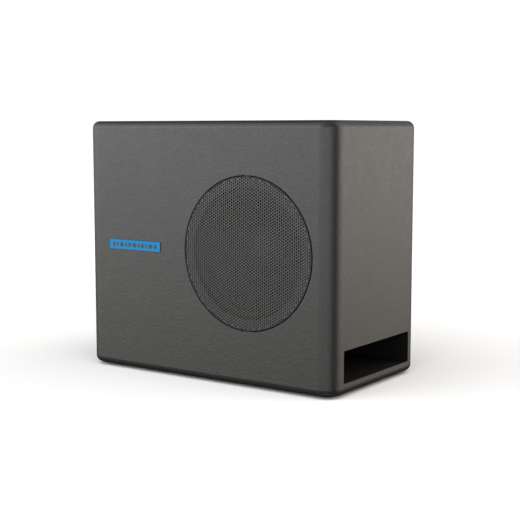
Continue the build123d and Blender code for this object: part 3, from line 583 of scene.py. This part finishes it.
def round_corners(x, z, width, height, corner):
    """Rectangle with quarter circles for corners."""
    steps = BADGE_CORNER_STEPS
    turn = np.pi / 2 * np.arange(steps) / (steps - 1)
    turns = np.concatenate([turn + np.pi / 2 * i for i in range(4)])
    side = np.repeat([(1, 1), (-1, 1), (-1, -1), (1, -1)], steps, axis=0)
    middle = (x, z) + side * (width / 2 - corner, height / 2 - corner)
    return middle + corner * np.stack([np.cos(turns), np.sin(turns)], -1)


def badge():
    """Loops of one rounded rectangle, drawn in and lifted step by step, make the edge, and close over with
    a flat face. The bars stand in a row on it, and a bar narrower than it is tall has its length upright."""
    low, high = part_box("badge_plate")
    x, z = (low.x + high.x) / 2, (low.z + high.z) / 2
    width, height = high.x - low.x, high.z - low.z

    def stack(levels):
        loops = []
        for inset, y in levels:
            corner = max(BADGE_CORNER - inset, BADGE_CORNER_LEAST)
            flat = round_corners(x, z, width - 2 * inset, height - 2 * inset, corner)
            loops.append(np.stack([flat[:, 0], np.full(len(flat), y), flat[:, 1]], -1))
        return np.concatenate(loops), len(loops[0]), len(loops)

    edge, bevel, face = BADGE_EDGE, BADGE_BEVEL, low.y + BADGE_STEP
    points, around, count = stack([
        (0, high.y), (0, low.y + bevel), (bevel, low.y),
        (edge - bevel, low.y), (edge, low.y + bevel), (edge, high.y),
    ])
    mesh_object(
        "badge_edge", points, [lattice(count, around, close_rows=True)], FINISHES["plastic_black"],
        "cabinet", "badge_blue", ["badge_plate"], smooth=False,
    )
    points, around, count = stack([(edge, high.y), (edge, face + bevel), (edge + bevel, face)])
    ends = [np.arange(around)[::-1], np.arange(around) + around * (count - 1)]
    mesh_object(
        "badge_face", points, [lattice(count, around), *ends], FINISHES["badge_blue"],
        "cabinet", "badge_blue", ["badge_plate"], smooth=False,
    )
    widths = np.array(BAR_WIDTHS) * MM
    start, stop = (low.x + share * width for share in BAR_SPAN)
    gap = (stop - start - widths.sum()) / (len(widths) - 1)
    middles = start + np.cumsum(widths + gap) - gap - widths / 2
    tall = BAR_HEIGHT * height
    rows = [
        (at, z, pi / 2, tall, wide) if wide < tall else (at, z, 0, wide, tall)
        for at, wide in zip(middles, widths)
    ]
    bars("badge_bars", rows, face, BAR_PROUD, FINISHES["plastic_black"], "cabinet", "badge_blue")


badge()


# ---- Woofer's soft parts ----
ROLL_RADIUS, ROLL_SHEET = 6.2 * MM, 0.9 * MM
LAND_WIDTH = 5.5 * MM            # glued to the frame
CONE_RIM = 6.0 * MM              # glued to the cone
RIM_GAP = 0.3 * MM               # between the roll's inside and the cone's rim
ROLL_FLAT = 1.0 * MM             # flat strip at each foot of the roll
ROLL_STEPS = 15
WAVE_START, WAVE_END, WAVE_HEIGHT, WAVE_COUNT = 30.2 * MM, 49.6 * MM, 1.3 * MM, 5
WAVE_STEPS = 61
SPIDER_SHEET = 0.6 * MM
TINSEL_RADIUS = 0.8 * MM
TINSEL_SIDES, TINSEL_STEPS = 8, 25
TINSEL_OUT = 18.0 * MM           # first pull, straight out of the terminal
TINSEL_IN = (12.0 * MM, 3.0 * MM)    # last pull, beside and behind the cone
TINSEL_HELD = 6.0 * MM           # that moves with the terminal


def soft_blend(piece, radius_held, radius_moving, x, z):
    """The cabinet holds the piece outside one radius, and inside another it moves with the cone; between
    them the share goes round a smooth half wave of the radius."""
    low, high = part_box("cone")
    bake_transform(piece, "cabinet", "cone_assembly", (x, low.y, z), (x, high.y, z))
    mesh = piece.data
    flat = np.empty(len(mesh.vertices) * 3)
    mesh.vertices.foreach_get("co", flat)
    flat = flat.reshape(-1, 3)
    radius = np.hypot(flat[:, 0] - x, flat[:, 2] - z)
    share = np.clip((radius_held - radius) / (radius_held - radius_moving), 0, 1)
    share = (1 - np.cos(np.pi * share)) / 2
    mesh.attributes["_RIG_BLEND"].data.foreach_set("value", share.astype(np.float32))


def surround():
    """Half roll between two flat rims. The profile goes along the front at the outer radius of the roll,
    and comes back behind it at the radius less the sheet's thickness."""
    low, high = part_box("surround")
    x, z = (low.x + high.x) / 2, (low.z + high.z) / 2
    outer = (high.x - low.x) / 2
    middle = outer - LAND_WIDTH - ROLL_RADIUS
    inner = middle - ROLL_RADIUS + ROLL_SHEET - RIM_GAP - CONE_RIM
    turn = np.linspace(0, np.pi, ROLL_STEPS)
    back, front_face = high.y, high.y - ROLL_SHEET
    rise = sqrt(ROLL_RADIUS**2 - ROLL_SHEET**2)
    lift = np.arcsin(ROLL_SHEET / ROLL_RADIUS)
    over = np.linspace(lift, np.pi - lift, ROLL_STEPS)
    front = np.stack([middle - ROLL_RADIUS * np.cos(over), back - ROLL_RADIUS * np.sin(over)], -1)
    under = ROLL_RADIUS - ROLL_SHEET
    behind = np.stack([middle + under * np.cos(turn), back - under * np.sin(turn)], -1)
    profile = np.concatenate([
        [(inner, back), (inner, front_face), (middle - rise - ROLL_FLAT, front_face)], front,
        [(middle + rise + ROLL_FLAT, front_face), (outer, front_face), (outer, back)], behind,
    ])
    piece = turned_piece(
        "surround_roll", profile, x, z, FINISHES["rubber"], stands_for=["surround"], slot="rubber"
    )
    soft_blend(piece, middle + ROLL_RADIUS, middle - ROLL_RADIUS, x, z)


def spider():
    """Cloth disc whose depth is a cosine of the radius, faded out over half a wave at each end."""
    low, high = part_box("spider")
    x, z = (low.x + high.x) / 2, (low.z + high.z) / 2
    outer, rest = (high.x - low.x) / 2, (low.y + high.y) / 2
    inner = (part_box("coil_former")[1].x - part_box("coil_former")[0].x) / 2
    half = SPIDER_SHEET / 2
    radius = np.concatenate([[inner], np.linspace(WAVE_START, WAVE_END, WAVE_STEPS), [outer]])
    share = np.clip((radius - WAVE_START) / (WAVE_END - WAVE_START), 0, 1)
    ends = np.clip(np.minimum(share, 1 - share) * 2 * WAVE_COUNT, 0, 1)
    depth = rest + WAVE_HEIGHT * np.cos(tau * WAVE_COUNT * share) * ends * ends * (3 - 2 * ends)
    front, back = (np.stack([radius, depth + side], -1) for side in (-half, half))
    piece = turned_piece(
        "spider_cloth", np.concatenate([front, back[::-1]]), x, z, FINISHES["spider_cloth"],
        stands_for=["spider"], slot="spider_cloth",
    )
    soft_blend(piece, WAVE_END, WAVE_START, x, z)


def tinsel_leads():
    """Two braided leads, each a tube on a cubic curve from the terminals to the back of the cone."""
    low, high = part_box("tinsel_leads")
    radius, sides, steps = TINSEL_RADIUS, TINSEL_SIDES, TINSEL_STEPS
    share = np.linspace(0, 1, steps)[:, None]
    left = 1 - share
    points, faces = [], []
    for i, z in enumerate((low.z + radius, high.z - radius)):
        a, b, c, d = np.array([
            (low.x + radius, high.y, z), (low.x + radius, high.y - TINSEL_OUT, z),
            (low.x + TINSEL_IN[0], low.y + TINSEL_IN[1], z), (high.x, low.y + radius, z),
        ])
        path = left**3 * a + 3 * left**2 * share * b + 3 * left * share**2 * c + share**3 * d
        first, end = i * sides * steps, np.arange(sides)
        points.append(tube(path, radius, sides))
        faces += [lattice(steps, sides, first=first), end[::-1] + first, end + first + sides * (steps - 1)]
    piece = mesh_object(
        "tinsel_braids", np.concatenate(points), faces, FINISHES["tinsel"],
        slot="tinsel", stands_for=["tinsel_leads"],
    )
    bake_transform(piece, "cabinet", "cone_assembly", (low.x, high.y - TINSEL_HELD, low.z), (high.x, low.y, low.z))


surround()
spider()
tinsel_leads()


# ---- Amplifier: wound choke, capacitors, dials ----
WIRE = 0.62 * MM                 # radius
WIRE_TURNS = 44
WIRE_STEPS, WIRE_SIDES = 20, 6   # in a turn, and round the wire
WIRE_BED = 1.9                   # core's surface below the wire's top, in wire radii
CORE_CORNER = 4                  # squareness of the core's section
CORE_STEPS, RING_STEPS = 24, 72  # round the section, and round the ring
CORE_BORE = 8.0 * MM             # radius, over the wire

CAN_PITCH = 20.0 * MM
CAN_COUNT = 4
CAN_STEPS = 40
# Profiles of a can, in millimetres: inset from the side, and height above the foot or depth below the top.
CAN_FOOT = ((0.8, 0.0), (0.1, 0.7), (0.0, 1.6), (0.0, 2.6), (0.7, 3.5), (0.0, 4.4))
CAN_TOP = ((0.0, 1.0), (0.3, 0.3), (1.0, 0.0), (1.6, 0.0), (1.6, 0.5))
CAN_LID = ((1.7, 0.6), (1.7, 0.3), (2.2, 0.15))
SCORE_LENGTH = 1.2               # of the can's radius
SCORE_WIDTH, SCORE_PROUD = 0.5 * MM, 0.06 * MM

DIAL_SWEEP = radians(150)
DIAL_STEPS = 11
TICK_LONG_EVERY = 5
TICK_LONG, TICK_SHORT, PRINT_WIDTH = 2.6 * MM, 1.6 * MM, 0.45 * MM
TICK_GAP = 1.4 * MM              # from the knob
SIGN_LENGTH = 2.2 * MM           # of the plus and the minus
SIGN_OUT, SIGN_DROP = 1.0 * MM, 3.2 * MM    # from the knob's side and its lowest point
PRINT_PROUD = 0.06 * MM
KNOB_GAP = 1.0 * MM              # between a knob and the plate
POINTER_AT, POINTER_LENGTH = 0.60, 0.62     # of the knob's radius
POINTER_WIDTH = 0.95 * MM
POINTER_BED, POINTER_PROUD = 0.82 * MM, 0.55 * MM    # below the knob's face, and above that


def squared(turn, power):
    """Circle pushed out towards its square: cosine and sine, each to the power 2 / power, signs kept."""
    c, s = np.cos(turn), np.sin(turn)
    return np.sign(c) * np.abs(c) ** (2 / power), np.sign(s) * np.abs(s) ** (2 / power)


def choke():
    """Ring core, whose section is a squared circle, and a wire that runs round the section while it goes
    once round the ring."""
    low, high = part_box("choke_coil")
    x, z, y = (low.x + high.x) / 2, (low.z + high.z) / 2, (low.y + high.y) / 2
    outer, bed = (high.x - low.x) / 2, WIRE_BED * WIRE
    middle, wide, tall = (outer + CORE_BORE) / 2, (outer - CORE_BORE) / 2, (high.y - low.y) / 2
    across, along = squared(tau * np.arange(CORE_STEPS) / CORE_STEPS, CORE_CORNER)
    profile = np.stack([middle + (wide - bed) * across, y + (tall - bed) * along], -1)
    turned_piece(
        "choke_core", profile, x, z, FINISHES["ferrite"], RING_STEPS,
        body="cabinet", slot="ferrite", stands_for=["choke_coil"],
    )
    steps = WIRE_TURNS * WIRE_STEPS
    share = np.arange(steps) / steps
    across, along = squared(tau * WIRE_TURNS * share, CORE_CORNER)
    radius = middle + (wide - WIRE) * across
    round_ring = tau * share
    path = np.stack([
        x + radius * np.cos(round_ring), y + (tall - WIRE) * along, z + radius * np.sin(round_ring)
    ], -1)
    mesh_object(
        "choke_winding", tube(path, WIRE, WIRE_SIDES, ring=True),
        [lattice(steps, WIRE_SIDES, close_rows=True)], FINISHES["choke"], "cabinet", "choke", ["choke_coil"],
    )


def capacitors():
    """Cans turned from one profile: a rolled foot with a crimp groove under a sleeve, and a sunk bare top
    with two crossed scores pressed in."""
    low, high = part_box("capacitors")
    z, radius = (low.z + high.z) / 2, (high.z - low.z) / 2
    middles = low.x + radius + CAN_PITCH * np.arange(CAN_COUNT)
    slot = "capacitor_sleeve"

    def down(rows):
        return [(radius - inset * MM, high.y - depth * MM) for inset, depth in rows]

    up = [(radius - inset * MM, low.y + height * MM) for inset, height in CAN_FOOT]
    sleeve, lid = [(0, low.y), *up, *down(CAN_TOP)], down(CAN_LID)
    sleeve = [*sleeve, (0, sleeve[-1][1])]
    lid = [(0, lid[0][1]), *lid, (0, lid[-1][1])]
    for name, profile, finish in (("capacitor_cans", sleeve, slot), ("capacitor_lids", lid, "sink_bare")):
        cans = [turned(profile, x, z, CAN_STEPS) for x in middles]
        quads = [lattice(len(profile), CAN_STEPS, first=i * len(cans[0])) for i in range(CAN_COUNT)]
        mesh_object(name, np.concatenate(cans), quads, FINISHES[finish], "cabinet", slot, ["capacitors"])
    rows = [
        (x, z, turn, SCORE_LENGTH * radius, SCORE_WIDTH) for x in middles for turn in (pi / 4, -pi / 4)
    ]
    bars("capacitor_scores", rows, lid[-1][1], SCORE_PROUD, FINISHES["sink_metal"], "cabinet", slot, 1)


def dials():
    """White pointers in the knobs' grooves, and printed ticks round them, which are longer in the middle
    and at the ends. A plus and a minus stand below the end ticks."""
    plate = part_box("level_knob")[0].y - KNOB_GAP
    rows = []
    for node, body in (("level_knob", "level_control"), ("crossover_knob", "crossover_control")):
        low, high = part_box(node)
        x, z, radius = (low.x + high.x) / 2, (low.z + high.z) / 2, (high.x - low.x) / 2
        pointer = (x, z + POINTER_AT * radius, pi / 2, POINTER_LENGTH * radius, POINTER_WIDTH)
        bars(
            body.split("_")[0] + "_pointer", [pointer], high.y - POINTER_BED, POINTER_PROUD,
            FINISHES["phono_plastic"], body, "phono_plastic", 1,
        )
        turns = np.linspace(-DIAL_SWEEP, DIAL_SWEEP, DIAL_STEPS)
        lengths = np.where(np.arange(DIAL_STEPS) % TICK_LONG_EVERY == 0, TICK_LONG, TICK_SHORT)
        reaches = radius + TICK_GAP + lengths / 2
        rows += [
            (x + reach * sin(turn), z + reach * cos(turn), pi / 2 - turn, length, PRINT_WIDTH)
            for turn, reach, length in zip(turns, reaches, lengths)
        ]
        for side, strokes in ((-1, (0, pi / 2)), (1, (0,))):
            at = x + side * (radius + SIGN_OUT), z - radius - SIGN_DROP
            rows += [(*at, turn, SIGN_LENGTH, PRINT_WIDTH) for turn in strokes]
    bars("dial_marks", rows, plate, PRINT_PROUD, FINISHES["print_white"], "cabinet", "phono_plastic", 1)


choke()
capacitors()
dials()


# ---- Floor and light ----
# The light stands round the object in three belts: left, front and right. Each has its brightness by
# azimuth and by height angle, in degrees, and its tint. Azimuth 0 is in front of the cabinet, and the port
# side is at 90. The left and the front belt are alike near the floor and under it.
BELT_STRENGTH = 4.3
DEEP = ((-90, 0.26), (-75, 0.16), (-60, 0.06), (-40, 0.06), (-24, 0.09))
LOW = (*DEEP, (-14, 0.16), (-8, 0.43), (-3, 0.86), (2, 1.06))
LOW_TINT = (1.0, 0.955, 0.885)    # of the light that comes from below, as off a warm floor
LOW_TINT_HEIGHTS = (-12, -2)
BELTS = (
    (
        (
            (-180, 0.18), (-165, 0.12), (-145, 0.05), (-125, 0.08), (-105, 0.12), (-85, 0.32),
            (-65, 0.68), (-50, 1.00), (-41, 1.0), (-32, 0.78), (-22, 0.72), (-8, 0.0),
        ),
        (*LOW, (8, 1.00), (18, 0.80), (30, 0.60), (44, 0.43), (60, 0.35), (80, 0.30), (90, 0.28)),
        (1.0, 1.0, 1.0),
    ),
    (
        ((-22, 0.0), (-8, 0.80), (38, 0.88), (50, 0.60), (62, 0.15), (90, 0.12), (99, 0.0)),
        (*LOW, (7, 0.92), (14, 0.30), (25, 0.20), (90, 0.20)),
        (1.0, 1.0, 1.0),
    ),
    (
        (
            (90, 0.0), (98, 0.52), (107, 0.96), (122, 0.96), (138, 0.88), (150, 0.62), (165, 0.34),
            (180, 0.05),
        ),
        (
            *DEEP, (-14, 0.19), (-8, 0.49), (-3, 0.88), (2, 1.04), (8, 0.88), (14, 0.52), (24, 0.44),
            (34, 0.54), (46, 0.48), (60, 0.34), (90, 0.28),
        ),
        (1.06, 0.99, 0.93),
    ),
)
BACKDROP = ((1.0, 1.0, 1.0, 1.0), 1.05)     # colour and strength, to the eye alone
FLOOR_HALF = 6.0                 # half of the floor's side
FLOOR_GREY = 0.74
FLOOR_SUN = 2.8                  # irradiance
FLOOR_SUN_ANGLE = radians(90)    # a wide sky, for a soft contact shadow
FLOOR_SUN_TILT = radians(42)     # leaning to the camera's side


def ramp(tree, value, stops, low, high):
    """Straight runs through (value, brightness or colour) stops."""
    share = tree.nodes.new("ShaderNodeMapRange")
    share.inputs["From Min"].default_value, share.inputs["From Max"].default_value = low, high
    tree.links.new(value, share.inputs["Value"])
    made = tree.nodes.new("ShaderNodeValToRGB")
    made.color_ramp.interpolation = "LINEAR"
    elements = made.color_ramp.elements
    while len(elements) < len(stops):
        elements.new(0.5)
    for element, (at, bright) in zip(elements, stops):
        element.position = (at - low) / (high - low)
        element.color = (*np.broadcast_to(bright, 3), 1)
    tree.links.new(share.outputs[0], made.inputs[0])
    return made.outputs[0]


def light_world():
    """White to the eye; to everything else soft belts of studio light, warmer from below."""
    world = bpy.data.worlds.new("studio")
    world.use_nodes = True
    scene.world = world
    tree = world.node_tree
    tree.nodes.clear()
    link = tree.links.new
    direction = tree.nodes.new("ShaderNodeTexCoord").outputs["Generated"]
    parts = tree.nodes.new("ShaderNodeSeparateXYZ")
    link(direction, parts.inputs[0])

    def math(operation, a, b=None):
        made = tree.nodes.new("ShaderNodeMath")
        made.operation = operation
        link(a, made.inputs[0])
        if isinstance(b, (int, float)):
            made.inputs[1].default_value = b
        elif b is not None:
            link(b, made.inputs[1])
        return made.outputs[0]

    def background(colour, strength):
        made = tree.nodes.new("ShaderNodeBackground")
        for socket, value in (("Color", colour), ("Strength", strength)):
            if isinstance(value, bpy.types.NodeSocket):
                link(value, made.inputs[socket])
            else:
                made.inputs[socket].default_value = value
        return made.outputs[0]

    degrees = 180 / pi
    circle, upright = (-180, 180), (-90, 90)
    from_front = math("ARCTAN2", parts.outputs[0], math("MULTIPLY", parts.outputs[1], -1.0))
    azimuth = math("MULTIPLY", from_front, degrees)
    height = math("MULTIPLY", math("ARCSINE", parts.outputs[2]), degrees)
    soft = None
    for by_azimuth, by_height, tint in BELTS:
        round_about = ramp(tree, azimuth, by_azimuth, *circle)
        belt = math("MULTIPLY", round_about, ramp(tree, height, by_height, *upright))
        warm = tuple(np.multiply(tint, LOW_TINT))
        colour = ramp(tree, height, tuple(zip(LOW_TINT_HEIGHTS, (warm, tint))), *upright)
        light = background(colour, math("MULTIPLY", belt, BELT_STRENGTH))
        if soft:
            both = tree.nodes.new("ShaderNodeAddShader")
            link(soft, both.inputs[0])
            link(light, both.inputs[1])
            light = both.outputs[0]
        soft = light
    eye = tree.nodes.new("ShaderNodeLightPath").outputs["Is Camera Ray"]
    choice = tree.nodes.new("ShaderNodeMixShader")
    link(eye, choice.inputs[0])
    link(soft, choice.inputs[1])
    link(background(*BACKDROP), choice.inputs[2])
    out = tree.nodes.new("ShaderNodeOutputWorld")
    link(choice.outputs[0], out.inputs["Surface"])


def white_floor():
    """Pale floor that only the eye sees, with its own soft light, so that it takes a contact shadow."""
    half = FLOOR_HALF
    corners = [(-half, -half, 0), (half, -half, 0), (half, half, 0), (-half, half, 0)]
    paper = Finish("floor_paper", (FLOOR_GREY,) * 3, 0.9, Specular_IOR_Level=0.0)
    floor = mesh_object("floor", corners, [(0, 1, 2, 3)], paper)
    floor.visible_diffuse = floor.visible_glossy = floor.visible_transmission = False
    lit = bpy.data.collections.new("floor_only")
    lit.objects.link(floor)
    data = bpy.data.lights.new("floor_sun", "SUN")
    data.energy, data.angle = FLOOR_SUN, FLOOR_SUN_ANGLE
    lamp = bpy.data.objects.new("floor_sun", data)
    lamp.rotation_euler = (FLOOR_SUN_TILT, 0, VIEW_TURN)
    scene.collection.objects.link(lamp)
    lamp.light_linking.receiver_collection = lit


light_world()
white_floor()
scene.view_settings.view_transform = "Standard"
